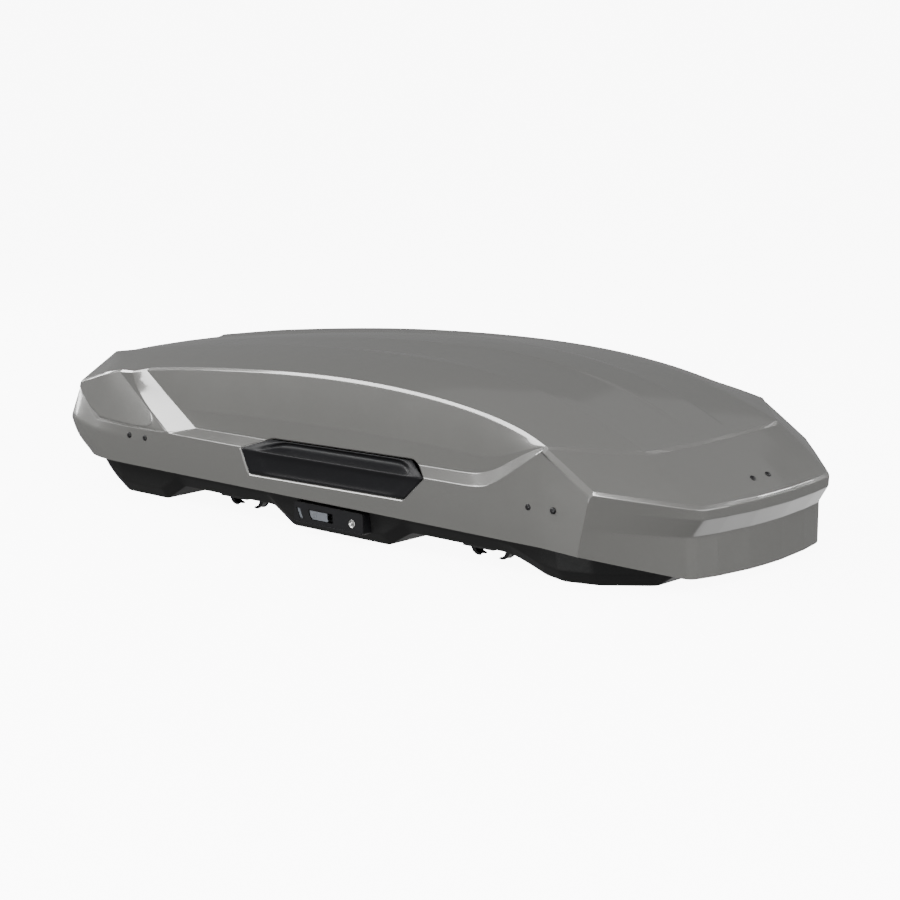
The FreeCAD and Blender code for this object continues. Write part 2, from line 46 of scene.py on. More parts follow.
# ---------------------------------------------------------------- the lid's feature lines
# Knots of each line as (x, half width, z) in millimetres; between knots the line is smooth.
LINES = {
    "edge": [(-1015, 310, 102), (-950, 420, 97), (-880, 445, 96), (-780, 449, 95), (0, 450, 95),
             (700, 450, 93), (722, 450, 93)],
    "low_a": [(-1050, 332, 140), (-1006, 418, 138), (-905, 445, 134), (-780, 452, 132), (540, 453, 134),
              (640, 453, 140), (722, 452, 152)],
    "low_b": [(-1071, 348, 189), (-1047, 407, 189), (-930, 442, 178), (-780, 453, 170), (537, 454, 172),
              (640, 454, 205), (722, 452, 240)],
    "belt": [(-1062, 363, 262), (-984, 406, 228), (-905, 432, 199), (-800, 448, 199), (-703, 452, 200),
             (-605, 453, 203), (-545, 453, 203), (-318, 453, 203), (0, 453, 207), (351, 453, 211),
             (530, 453, 212), (597, 453, 241), (660, 452, 284), (725, 449, 329)],
    "sill": [(-1054, 369, 270), (-979, 408, 238), (-900, 428, 209), (-800, 443, 207), (-700, 450, 205),
             (-600, 452.5, 206), (-588, 452, 207), (-505, 428, 224), (-269, 428, 227), (0, 428, 231),
             (304, 428, 235), (505, 428, 239), (585, 433, 268), (655, 440, 310), (731, 441, 340)],
    "brow": [(-1050, 371, 277), (-980, 388, 300), (-915, 392, 320), (-850, 390, 334), (-785, 404, 341),
             (-742, 388, 350), (-704, 389, 358), (-504, 395, 378), (-316, 398, 395), (-136, 399, 407),
             (35, 398, 411), (202, 398, 408), (367, 400, 397), (532, 408, 375), (666, 428, 350),
             (731, 441, 340)],
    "brow_top": [(-1051, 365, 283), (-980, 379, 306), (-915, 384, 326), (-846, 384, 340),
                 (-780, 399, 346), (-735, 381, 357), (-700, 384, 366), (-500, 390, 386), (-312, 393, 403),
                 (-132, 394, 415), (38, 393, 419), (204, 393, 416), (369, 395, 405), (532, 403, 384),
                 (666, 423, 359), (731, 441, 340)],
    "flank": [(-1062, 288, 315), (-945, 300, 352), (-740, 302, 384), (-590, 304, 401), (-300, 306, 430),
              (0, 308, 446), (190, 312, 446), (370, 322, 438), (560, 332, 412), (700, 344, 373),
              (812, 358, 333)],
    "ridge": [(-1071, 212, 348), (-960, 203, 366), (-850, 200, 384), (-729, 200, 400), (-489, 200, 428),
              (-250, 207, 449), (0, 212, 460), (200, 226, 463), (370, 238, 455), (551, 250, 430),
              (650, 256, 408), (750, 262, 379), (898, 272, 324)],
    "foot": [(-1071, 190, 343), (-850, 179, 378), (-489, 179, 422), (-250, 187, 445), (0, 191, 458),
             (200, 203, 463), (370, 214, 457), (551, 226, 433), (650, 231, 411), (750, 236, 382),
             (902, 246, 324)],
    "channel_out": [(-1072, 70, 346), (-850, 70, 384), (-489, 70, 434), (-250, 70, 459), (0, 70, 475),
                    (200, 70, 478), (370, 70, 470), (551, 70, 446), (750, 70, 395), (911, 70, 324)],
    "channel_in": [(-1072, 60, 346), (-850, 60, 382), (-489, 60, 431), (-250, 60, 457), (0, 60, 474),
                   (200, 60, 479), (370, 60, 472), (551, 60, 448), (750, 60, 397), (911.5, 60, 324)],
    "centre": [(-1073, 0, 346), (-850, 0, 383), (-489, 0, 432), (-250, 0, 459), (0, 0, 477),
               (100, 0, 481), (200, 0, 482), (370, 0, 474), (551, 0, 450), (750, 0, 398), (913, 0, 324)],
}
ORDER = ["edge", "low_a", "low_b", "belt", "sill", "pane_a", "pane_b", "brow", "brow_top", "flank",
         "ridge", "foot", "channel_out", "channel_in", "centre"]

# Where each station crosses the lines: x at (edge, low_a, low_b, belt, sill, brow, brow_top, flank,
# ridge and the roof lines). Slanted rows follow the slanted edges of the side panels.
STATIONS = [
    (-965, -1003, -1043, -1056, -1048, -1045, -1047, -1062, -1071),
    (-925, -950, -985, -980, -975, -980, -980, -1020, -1066),
    (-870, -885, -905, -905, -900, -915, -915, -990, -1060),
    (-800, -800, -810, -800, -800, -893, -892, -972, -1055),
    (-690, -690, -690, -645, -642, -871, -869, -958, -1051),
    (-620, -620, -620, -605, -600, -850, -846, -945, -1046),
    (-585, -585, -585, -592, -588, -785, -780, -860, -920),
    (-530, -530, -530, -545, -505, -742, -735, -770, -810),
    (-430, -430, -430, -440, -420, -590, -585, -610, -640),
    (-300, -300, -300, -300, -290, -400, -395, -420, -440),
    (-130, -130, -130, -130, -130, -200, -195, -210, -230),
    (40, 40, 40, 40, 40, 10, 10, 0, -10),
    (200, 200, 200, 200, 200, 190, 190, 190, 190),
    (360, 360, 360, 360, 350, 350, 352, 360, 370),
    (480, 480, 480, 490, 465, 480, 482, 500, 520),
    (540, 540, 540, 545, 515, 560, 560, 590, 610),
    (600, 600, 600, 597, 585, 625, 625, 665, 690),
    (660, 660, 660, 660, 655, 675, 675, 735, 780),
    (722, 722, 722, 725, 731, 731, 731, 812, 898),
]
DIAGONAL = 5
GROOVE_DEPTH = 4.5
WINDOW_CROWN = 4.0
BEVEL_OUT = 6
BEVEL_IN = 7

# Nose rows from the hood line down: each gives the points at the side crease, the middle of the corner
# facet, the nose corner, and the front face at the foot, channel_out, channel_in and centre columns.
NOSE_ROWS = [
    [(732, 448, 322), (738, 440.5, 333), (820, 364, 323), (906, 277, 315), 921, 315],
    [(800, 446, 281), (806, 439, 292), (897, 362, 281), (989, 272, 265), 1009, 265],
    [(867, 444.5, 240), (872, 437, 251), (966, 353.5, 232), (1058, 264.5, 214), 1085.5, 210.5],
    [(868, 446, 234), (875.5, 441.5, 241), (971, 357, 222), (1065.5, 267.5, 204), 1090, 202],
    [(860, 447, 203), (864, 443.5, 203), (963, 357, 192), (1064, 268, 180), 1088, 176],
    [(849, 448.5, 153), (853, 445, 153), (945, 360, 144), (1034, 271, 135), 1060, 132],
    [(836, 450, 88), (840, 446.5, 87), (937, 359, 59), (1034, 270, 31), 1063, 26],
]
NOSE_COLUMNS = (180.0, 70.0, 60.0, 0.0)


def nose_row(row):
    """A nose row's points; its last two numbers are the x and z of its middle."""
    side = [Vector(p) for p in row[:4]]
    corner = side[-1]
    for y in NOSE_COLUMNS:
        share = 1 - (y / corner.y) ** 2
        side.append(Vector((corner.x + (row[4] - corner.x) * share, y,
                            corner.z + (row[5] - corner.z) * share)))
    return side


# Middle of the rear face: (x, z) on the centre line for each line from the edge up to the flank.
REAR_CENTRE = {
    "edge": (-1018, 103), "low_a": (-1050, 141), "low_b": (-1076, 189), "belt": (-1074, 262),
    "sill": (-1067, 266), "pane_a": (-1070, 270), "pane_b": (-1070, 274), "brow": (-1070, 279),
    "brow_top": (-1070, 284), "flank": (-1073, 315),
}

# Half widths of the rounded edges, in millimetres, by line and by row.
LINE_ROUNDING = {"low_b": 14, "belt": 2.6, "sill": 1.6, "pane_a": 2.0, "brow": 2.6, "brow_top": 2.6,
                 "ridge": 5, "foot": 5, "channel_out": 3, "channel_in": 3}
STATION_ROUNDING = {0: 8, 2: 12, DIAGONAL: 2.6, BEVEL_OUT: 2.2, BEVEL_IN: 2.6, 18: 2.4}
NOSE_ROUNDING = {0: 2.4, 2: 2.6, 3: 2.6, 4: 3, 5: 3}


def along(knots, x):
    """The smooth line's point at x: cubic between knots, with no overshoot."""
    if x <= knots[0][0]:
        return Vector((x, *knots[0][1:]))
    if x >= knots[-1][0]:
        return Vector((x, *knots[-1][1:]))
    k = max(i for i in range(len(knots) - 1) if knots[i][0] <= x)
    point = [x]
    for axis in (1, 2):
        rates = [(b[axis] - a[axis]) / (b[0] - a[0]) for a, b in zip(knots, knots[1:])]

        def slope(i):
            if i == 0:
                return rates[0]
            if i == len(knots) - 1:
                return rates[-1]
            before, after = rates[i - 1], rates[i]
            if before * after <= 0:
                return 0.0
            return 2 * before * after / (before + after)

        span = knots[k + 1][0] - knots[k][0]
        t = (x - knots[k][0]) / span
        a, b = knots[k][axis], knots[k + 1][axis]
        point.append(a * (1 + 2 * t) * (1 - t) ** 2 + b * t * t * (3 - 2 * t)
                     + slope(k) * span * t * (1 - t) ** 2 - slope(k + 1) * span * t * t * (1 - t))
    return Vector(point)


def station_points(index):
    xs = STATIONS[index]
    names = ["edge", "low_a", "low_b", "belt", "sill", "brow", "brow_top", "flank", "ridge"]
    points = {name: along(LINES[name], x) for name, x in zip(names, xs)}
    first, last = LINES["ridge"][0][0], LINES["ridge"][-1][0]
    share = (xs[-1] - first) / (last - first)
    for name in ("foot", "channel_out", "channel_in", "centre"):
        start, end = LINES[name][0][0], LINES[name][-1][0]
        points[name] = along(LINES[name], start + (end - start) * share)
    sill, brow = points["sill"], points["brow"]
    if index < DIAGONAL:
        outward = Vector((-0.55, 0.83, 0)) if index < 2 else Vector((-0.1, 0.99, 0))
        points["pane_a"] = sill
        points["pane_b"] = sill.lerp(brow, 0.6)
        points["sill"] = points["belt"].lerp(sill, 0.5) - outward * GROOVE_DEPTH
        return points
    for name, share in (("pane_a", 0.33), ("pane_b", 0.67)):
        points[name] = sill.lerp(brow, share)
        if index > BEVEL_IN:
            points[name].y += WINDOW_CROWN * min(1, (sill - brow).length / 120)
    return points


def side_grid():
    grid = [station_points(i) for i in range(len(STATIONS))]
    for name, shift in (("pane_a", 9), ("pane_b", 12)):
        grid[BEVEL_OUT][name] = grid[DIAGONAL][name] + Vector((shift, 0.5, 1))
    return [[row[name] for name in ORDER] for row in grid]


def rounded(points, marks):
    """The polyline with a close neighbour added on each side of every marked point."""
    result = []
    for k, point in enumerate(points):
        width = marks.get(k)
        if width and k > 0:
            result.append(toward(point, points[k - 1], width))
        result.append(point)
        if width and k < len(points) - 1:
            result.append(toward(point, points[k + 1], width))
    return result


def toward(point, other, width):
    gap = (other - point).length
    if gap < 1e-6:
        return point.copy()
    return point.lerp(other, min(width / gap, 0.36))


def rounded_grid(grid, line_marks, row_marks):
    wide = [rounded(row, line_marks) for row in grid]
    columns = [rounded([row[j] for row in wide], row_marks) for j in range(len(wide[0]))]
    return [[column[i] for column in columns] for i in range(len(columns[0]))]


class Skin:
    """Collects quads, welds equal corners and mirrors them to the far side."""

    def __init__(self):
        self.index = {}
        self.points = []
        self.faces = []

    def corner(self, point):
        key = tuple(round(c * 50) for c in point)
        if key not in self.index:
            self.index[key] = len(self.points)
            self.points.append(Vector(point) * MM)
        return self.index[key]

    def face(self, corners):
        for side in (-1, 1):
            loop = []
            for point in (corners if side < 0 else corners[::-1]):
                vertex = self.corner((point[0], side * point[1] + 0.0, point[2]))
                if vertex not in loop:
                    loop.append(vertex)
            if len(loop) > 2:
                self.faces.append(loop)

    def grid(self, rows, turned=False):
        for a, b in zip(rows, rows[1:]):
            for j in range(len(a) - 1):
                loop = [a[j], b[j], b[j + 1], a[j + 1]]
                self.face(loop[::-1] if turned else loop)

    def object(self, name):
        mesh = bpy.data.meshes.new(name)
        mesh.from_pydata([tuple(p) for p in self.points], [], self.faces)
        mesh.polygons.foreach_set("use_smooth", [True] * len(mesh.polygons))
        piece = bpy.data.objects.new(name, mesh)
        bpy.context.scene.collection.objects.link(piece)
        return piece


def lid_skin():
    skin = Skin()
    number = {name: k for k, name in enumerate(ORDER)}
    marks = {number[name]: width for name, width in LINE_ROUNDING.items()}
    side = side_grid()
    last = len(side) - 1
    skin.grid(rounded_grid(side, marks, STATION_ROUNDING))

    brow_top = number["brow_top"]
    nose = [[side[last][number["belt"]]] + side[last][brow_top:]]
    nose += [nose_row(row) for row in NOSE_ROWS]
    nose_marks = {j - brow_top + 1: w for j, w in marks.items() if j > brow_top}
    nose_marks.update({0: 1.6, 1: 1.6, 3: 42})
    row_marks = {0: STATION_ROUNDING[last]}
    row_marks.update({k + 1: w for k, w in NOSE_ROUNDING.items()})
    skin.grid(rounded_grid(nose, nose_marks, row_marks))

    # The front of the lower side: from the last station to the side crease.
    hood, crease = 0, 3
    columns = []
    low_end = [nose[r][0] for r in (7, 6, 5, 4, 3)]
    low_start = side[last][:5]
    for row in range(hood, crease + 1):
        top = nose[row][0]
        share = (top - nose[hood][0]).length / (nose[crease][0] - nose[hood][0]).length
        column = [a.lerp(b, share) for a, b in zip(low_start, low_end)]
        column[-1] = top
        columns.append(column)
    low_marks = {j: w for j, w in marks.items() if j < 5}
    column_marks = {k: w for k, w in row_marks.items() if k <= crease}
    skin.grid(rounded_grid(columns, low_marks, column_marks))

    # The rear face, from the corner station to the centre line.
    ridge = number["ridge"]
    top_row = side[0][ridge:]
    rear = []
    for column in range(len(top_row)):
        share = 1 - top_row[column].y / top_row[0].y
        points = []
        for name in ORDER[:ridge]:
            corner = side[0][number[name]]
            x, z = REAR_CENTRE[name]
            points.append(corner.lerp(Vector((x, 0, z)), share))
            points[-1].x = x + (corner.x - x) * (1 - share) ** 4
        points.append(top_row[column])
        rear.append(points)
    rear_marks = {j: w for j, w in marks.items() if j <= ridge}
    across = {j - ridge: w for j, w in marks.items() if j >= ridge}
    skin.grid(rounded_grid(rear, rear_marks, across), turned=True)
    return skin


# ---------------------------------------------------------------- materials
def material(name, colour, roughness, metallic=0.0, grain=900.0, spread=0.06, bump=0.0, coat=0.0,
             coat_roughness=0.05, coat_ior=1.5, specular=0.5):
    """Plastic, paint or metal with fine grain in its colour, roughness and surface."""
    made = bpy.data.materials.new(name)
    made.use_nodes = True
    nodes, links = made.node_tree.nodes, made.node_tree.links
    shader = nodes["Principled BSDF"]
    place = nodes.new("ShaderNodeTexCoord")
    noise = nodes.new("ShaderNodeTexNoise")
    noise.inputs["Scale"].default_value = grain
    noise.inputs["Detail"].default_value = 3.0
    links.new(place.outputs["Object"], noise.inputs["Vector"])
    ramp = nodes.new("ShaderNodeValToRGB")
    ramp.color_ramp.elements[0].position = 0.3
    ramp.color_ramp.elements[1].position = 0.7
    ramp.color_ramp.elements[0].color = [c * (1 - spread) for c in colour] + [1]
    ramp.color_ramp.elements[1].color = [c * (1 + spread) for c in colour] + [1]
    links.new(noise.outputs["Fac"], ramp.inputs["Fac"])
    links.new(ramp.outputs["Color"], shader.inputs["Base Color"])
    wear = nodes.new("ShaderNodeTexNoise")
    wear.inputs["Scale"].default_value = 14.0
    wear.inputs["Detail"].default_value = 5.0
    links.new(place.outputs["Object"], wear.inputs["Vector"])
    rough = nodes.new("ShaderNodeMapRange")
    rough.inputs["From Min"].default_value = 0.3
    rough.inputs["From Max"].default_value = 0.7
    rough.inputs["To Min"].default_value = roughness * 0.92
    rough.inputs["To Max"].default_value = roughness * 1.08
    links.new(wear.outputs["Fac"], rough.inputs["Value"])
    links.new(rough.outputs["Result"], shader.inputs["Roughness"])
    shader.inputs["Metallic"].default_value = metallic
    shader.inputs["Coat Weight"].default_value = coat
    shader.inputs["Coat Roughness"].default_value = coat_roughness
    shader.inputs["Coat IOR"].default_value = coat_ior
    shader.inputs["Specular IOR Level"].default_value = specular
    if bump:
        height = nodes.new("ShaderNodeBump")
        height.inputs["Strength"].default_value = bump
        height.inputs["Distance"].default_value = 0.0004
        links.new(noise.outputs["Fac"], height.inputs["Height"])
        links.new(height.outputs["Normal"], shader.inputs["Normal"])
    return made


PAINT = material("lid_paint", (0.135, 0.134, 0.127), 0.32, metallic=0.3, grain=2600, spread=0.10,
                 coat=1.0, coat_roughness=0.09, coat_ior=1.9)
LID_INSIDE = material("lid_inside", (0.075, 0.075, 0.073), 0.6, grain=900, spread=0.12, bump=0.3)
TRAY = material("tray_plastic", (0.007, 0.007, 0.007), 0.45, grain=1400, spread=0.2, bump=0.2,
                specular=0.35)
BLACK = material("black_plastic", (0.007, 0.007, 0.008), 0.40, grain=1600, spread=0.2, bump=0.15,
                 specular=0.35)
GRIP = material("grip_plastic", (0.006, 0.006, 0.007), 0.42, grain=1500, spread=0.2, bump=0.12,
                specular=0.22)
GREY = material("grey_plastic", (0.135, 0.145, 0.16), 0.35, grain=1500, spread=0.05, bump=0.05)
SILVER = material("plated_metal", (0.62, 0.62, 0.61), 0.3, metallic=1.0, grain=800, spread=0.04)
STEEL = material("zinc_steel", (0.5, 0.51, 0.53), 0.33, metallic=1.0, grain=300, spread=0.12)
RUBBER = material("pad_rubber", (0.02, 0.02, 0.02), 0.7, grain=900, spread=0.2, bump=0.3)
ALUMINIUM = material("stiffener_aluminium", (0.6, 0.61, 0.63), 0.35, metallic=1.0, grain=300,
                     spread=0.08)

BY_SLOT = {
    "lid_paint": PAINT, "tray_plastic": TRAY, "grip_plastic": GRIP, "black_plastic": BLACK,
    "knob_plastic": BLACK, "jaw_plastic": BLACK, "grey_plastic": GREY, "plated_metal": SILVER,
    "rivet_metal": BLACK, "pad_rubber": RUBBER, "stiffener_aluminium": ALUMINIUM, "zinc_steel": STEEL,
}
slot_of = {part["node"]: part["material_slot"] for part in frame["record"]["subparts"]}
for node, piece in frame["nodes"].items():
    piece.data.materials.clear()
    piece.data.materials.append(BY_SLOT[slot_of[node]])


# ---------------------------------------------------------------- camera, light and floor
def aim(thing, target):
    thing.rotation_mode = "QUATERNION"
    thing.rotation_quaternion = (Vector(target) - thing.location).to_track_quat("-Z", "Y")


def make_camera():
    azimuth, elevation, distance = math.radians(41.93), math.radians(11.28), 7.1005
    target = Vector((0.0292, 0.0, 0.1721))
    back = Vector((math.sin(azimuth) * math.cos(elevation), -math.cos(azimuth) * math.cos(elevation),
                   math.sin(elevation)))
    camera = bpy.data.objects.new("camera", bpy.data.cameras.new("camera"))
    bpy.context.scene.collection.objects.link(camera)
    camera.data.sensor_width = 36.0
    camera.data.lens = 106.1
    camera.data.clip_end = 100
    camera.location = target + back * distance
    aim(camera, target)
    bpy.context.scene.camera = camera


LIGHT_TARGET = (0, 0, 0.25)
LIGHT_DISTANCE = 5.0


def soft_light(name, direction, size, brightness):
    """A rectangular lamp that faces the box; its power grows with its area, so brightness is its look."""
    data = bpy.data.lights.new(name, "AREA")
    data.shape = "RECTANGLE"
    data.size, data.size_y = size
    data.energy = brightness * math.pi * size[0] * size[1]
    lamp = bpy.data.objects.new(name, data)
    bpy.context.scene.collection.objects.link(lamp)
    lamp.location = Vector(LIGHT_TARGET) + Vector(direction).normalized() * LIGHT_DISTANCE
    aim(lamp, LIGHT_TARGET)


WORLD_LIGHT = 0.25
FLOOR_HALF = 150.0
FLOOR_Z = -0.001
FLOOR_GLOW = 9.0

# Name, direction from the box, size in metres and brightness of each soft light.
LIGHTS = [
    ("edge_light", (-0.650, -0.566, 0.5075), (1.7, 2.0), 11.0),
    ("shoulder_light", (-0.26, -0.68, 0.69), (2.6, 1.7), 9.0),
    ("side_light", (-0.02, -0.96, -0.16), (1.6, 2.0), 9.0),
    ("rear_light", (-0.96, 0.0, 0.28), (1.6, 1.2), 12.0),
    ("nose_light", (0.54, 0.73, 0.41), (1.4, 0.9), 14.0),
    ("front_light", (0.60, -0.57, 0.56), (1.6, 1.0), 21.0),
    ("under_light", (0.20, 0.68, -0.70), (5.0, 4.0), 0.9),
    ("fill_light", (1.0, 0.1, 0.25), (5.0, 4.0), 2.7),
    ("broad_light", (0.55, -0.80, 0.2), (5.0, 4.0), 1.15),
    ("top_light", (0.1, 0.2, 1.0), (9.0, 9.0), 0.12),
]


def make_studio():
    world = bpy.data.worlds.new("studio")
    bpy.context.scene.world = world
    world.use_nodes = True
    back = world.node_tree.nodes["Background"]
    back.inputs["Color"].default_value = (1, 1, 1, 1)
    back.inputs["Strength"].default_value = WORLD_LIGHT
    mesh = bpy.data.meshes.new("floor")
    corners = [(x * FLOOR_HALF, y * FLOOR_HALF, FLOOR_Z) for x, y in ((-1, -1), (1, -1), (1, 1), (-1, 1))]
    mesh.from_pydata(corners, [], [(0, 1, 2, 3)])
    floor = bpy.data.objects.new("floor", mesh)
    bpy.context.scene.collection.objects.link(floor)
    white = material("floor", (0.9, 0.9, 0.9), 0.9, grain=3, spread=0.01)
    shader = white.node_tree.nodes["Principled BSDF"]
    shader.inputs["Emission Color"].default_value = (1, 1, 1, 1)
    shader.inputs["Emission Strength"].default_value = FLOOR_GLOW
    mesh.materials.append(white)
    floor.visible_diffuse = False
    floor.visible_glossy = False
    floor.visible_shadow = False
    for light in LIGHTS:
        soft_light(*light)


make_camera()
make_studio()


# ---------------------------------------------------------------- pieces
def finish_piece(piece, body, slot, nodes):
    piece.data.materials.append(BY_SLOT[slot])
    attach(piece, body)
    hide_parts(*nodes)


GRIP_OUTLINE = [(-305, 199), (-210, 232), (288, 244), (345, 209), (277, 146), (-276, 135)]
POCKET_LIP = 4.6


def pocket_outline(margin, radius=7.0, steps=5):
    """The grip's hexagon moved out by the margin, its corners rounded and its sides cut in short runs."""
    centre = Vector((20, 190))
    corners = []
    count = len(GRIP_OUTLINE)
    for k in range(count):
        before, here, after = (Vector(GRIP_OUTLINE[i % count]) for i in (k - 1, k, k + 1))
        normals = []
        for a, b in ((before, here), (here, after)):
            n = Vector((-(b - a).y, (b - a).x)).normalized()
            normals.append(n if n.dot(here - centre) > 0 else -n)
        middle = (normals[0] + normals[1]).normalized()
        corners.append(here + middle * margin / middle.dot(normals[0]))
    points = []
    for k in range(count):
        before, here, after = corners[k - 1], corners[k], corners[(k + 1) % count]
        start = here + (before - here).normalized() * radius
        end = here + (after - here).normalized() * radius
        for i in range(steps + 1):
            t = i / steps
            points.append(start * (1 - t) ** 2 + here * 2 * t * (1 - t) + end * t * t)
        stop = after + (here - after).normalized() * radius
        for i in range(1, 12):
            points.append(end.lerp(stop, i / 12))
    return points


def lid_y(x, z):
    """Half width of the lid's side at a point of the band around the grips."""
    lines = [along(LINES[name], x) for name in ("edge", "low_a", "low_b", "belt", "sill", "brow")]
    for low, high in zip(lines, lines[1:]):
        if z <= high.z:
            share = (z - low.z) / (high.z - low.z)
            return low.y + (high.y - low.y) * share
    return lines[-1].y


def pocket_ring(side):
    """The painted lip round a grip: from the lid's skin down into the pocket."""
    outer, inner = pocket_outline(POCKET_LIP + 0.4), pocket_outline(0.4)
    rings = [[(p.x, lid_y(p.x, p.y) + 0.1, p.y) for p in outer],
             [(q.x + (p.x - q.x) * 0.8, lid_y(p.x, p.y) - 0.1, q.y + (p.y - q.y) * 0.8)
              for p, q in zip(outer, inner)],
             [(q.x + (p.x - q.x) * 0.15, lid_y(q.x, q.y) - 3.2, q.y + (p.y - q.y) * 0.15)
              for p, q in zip(outer, inner)],
             [(q.x, lid_y(q.x, q.y) - 4.2, q.y) for q in inner],
             [(q.x, lid_y(q.x, q.y) - 9.0, q.y) for q in inner],
             [(p.x, lid_y(p.x, p.y) - 9.0, p.y) for p in outer]]
    count = len(outer)
    points = [(x, side * y, z) for ring in rings for x, y, z in ring]
    faces = []
    for i in range(len(rings)):
        for k in range(count):
            n = (k + 1) % count
            j = (i + 1) % len(rings)
            faces.append((i * count + k, i * count + n, j * count + n, j * count + k))
    return points, faces


def cut_pockets(piece):
    """Takes the two grip pockets out of the rounded skin: cuts along each side of the outline, then
    drops the faces inside it."""
    bpy.context.view_layer.update()
    done = piece.evaluated_get(bpy.context.evaluated_depsgraph_get())
    mesh = bmesh.new()
    mesh.from_mesh(done.to_mesh())
    outline = [p * MM for p in pocket_outline(POCKET_LIP, steps=2)]
    centre = sum(outline, Vector((0, 0))) / len(outline)
    sides = []
    for k, here in enumerate(outline):
        along_side = outline[(k + 1) % len(outline)] - here
        normal = Vector((-along_side.y, along_side.x)).normalized()
        if normal.dot(here - centre) < 0:
            normal = -normal
        if not sides or sides[-1][1].dot(normal) < 0.9999:
            sides.append((here, normal))

    def depth(face):
        middle = face.calc_center_median()
        if abs(middle.y) < 0.4:
            return 1.0
        return max((Vector((middle.x, middle.z)) - p).dot(n) for p, n in sides)

    for point, normal in sides:
        near = [f for f in mesh.faces if depth(f) < 0.06]
        corners = list({v for f in near for v in f.verts})
        edges = list({e for f in near for e in f.edges})
        bmesh.ops.bisect_plane(mesh, geom=corners + edges + near, dist=1e-7,
                               plane_co=(point.x, 0, point.y), plane_no=(normal.x, 0, normal.y))
    inside = [f for f in mesh.faces if depth(f) < 0]
    bmesh.ops.delete(mesh, geom=inside, context="FACES")
    result = bpy.data.meshes.new(piece.name)
    mesh.to_mesh(result)
    mesh.free()
    result.polygons.foreach_set("use_smooth", [True] * len(result.polygons))
    piece.modifiers.clear()
    piece.data = result


def make_lid():
    lid = lid_skin().object("lid_outer")
    level = lid.modifiers.new("round", "SUBSURF")
    level.levels = level.render_levels = 2
    cut_pockets(lid)
    wall = lid.modifiers.new("wall", "SOLIDIFY")
    wall.thickness = 0.0032
    wall.offset = -1
    wall.material_offset = 1
    sharp_rims(lid)
    finish_piece(lid, "lid", "lid_paint", ["lid_shell"])
    lid.data.materials.append(LID_INSIDE)
    for side, side_name in ((-1, "near"), (1, "far")):
        lip = merged("grip_pocket_lip_" + side_name, [pocket_ring(side)])
        finish_piece(lip, "lid", "lid_paint", ["lid_shell"])


# ---------------------------------------------------------------- the tray under the lid
TRAY = [
    (-1005, 330, 92), (-958, 392, 74), (-892, 416, 32), (-828, 424, 0), (-668, 424, 0),
    (-632, 424, 22), (-598, 424, 44), (-543, 424, 44), (-287, 424, 44), (-248, 424, 44),
    (-176, 424, 0), (-119, 424, 0), (129, 424, 0), (168, 424, 0), (246, 424, 44), (332, 424, 44),
    (553, 424, 44), (588, 424, 40), (620, 424, 32), (690, 424, 8), (744, 421, 0), (830, 396, 0),
    (938, 306, 0), (1008, 232, 62),
]
TRAY_RIM = 108.0
TRAY_ROUNDING = {2: 14, 3: 14, 4: 12, 6: 14, 9: 20, 10: 18, 13: 14, 14: 20, 16: 16, 19: 14, 20: 10, 21: 18,
                 22: 18}
SLOT_Y = (301.0, 335.0)
SLOT_ROWS = ((-543, -287), (332, 588))
LOCK_ROWS = (-119, 129)


def tray_skin():
    rows = []
    for x, half, bottom in TRAY:
        shoulder = min(bottom + 32, TRAY_RIM - 8)
        upper = shoulder + (TRAY_RIM - shoulder) * 0.72
        rows.append([Vector((x, half, TRAY_RIM)), Vector((x, half - 4, upper)),
                     Vector((x, half - 14, shoulder)), Vector((x, half - 38, bottom)),
                     Vector((x, min(SLOT_Y[1], half - 70), bottom)),
                     Vector((x, min(SLOT_Y[0], half - 90), bottom)), Vector((x, 0, bottom))])
    end, start = rows[-1], rows[0]
    for share in (0.2, 0.0):
        rows.append([Vector((end[0].x + 3, p.y * share, min(TRAY_RIM, p.z + 12))) for p in end])
        rows.insert(0, [Vector((start[0].x - 3, p.y * share, min(TRAY_RIM, p.z + 8))) for p in start])
    marks = {2: 7, 3: 7, 4: 1.5, 5: 1.5}
    row_marks = {k + 2: w for k, w in TRAY_ROUNDING.items()}
    row_marks.update({TRAY.index(t) + 2: 2.0 for t in TRAY if t[0] in (-543, -287, -119, 129, 332, 588)})
    skin = Skin()
    fine = rounded_grid(rows, marks, row_marks)
    for a, b in zip(fine, fine[1:]):
        for j in range(len(a) - 1):
            loop = [a[j], b[j], b[j + 1], a[j + 1]]
            if not in_tray_opening(loop):
                skin.face(loop)
    return skin


def in_tray_opening(loop):
    x = sum(p.x for p in loop) / 4
    y = sum(p.y for p in loop) / 4
    z = sum(p.z for p in loop) / 4
    in_slot = any(low < x < high for low, high in SLOT_ROWS) and SLOT_Y[0] < y < SLOT_Y[1]
    in_lock = LOCK_ROWS[0] < x < LOCK_ROWS[1] and 32 < z < 85 and y > 405
    return in_slot or in_lock


def make_tray():
    tray = tray_skin().object("tray_moulding")
    level = tray.modifiers.new("round", "SUBSURF")
    level.levels = level.render_levels = 2
    wall = tray.modifiers.new("wall", "SOLIDIFY")
    wall.thickness = 0.004
    wall.offset = 1
    sharp_rims(tray)
    finish_piece(tray, "base", "tray_plastic", ["base_tray"])


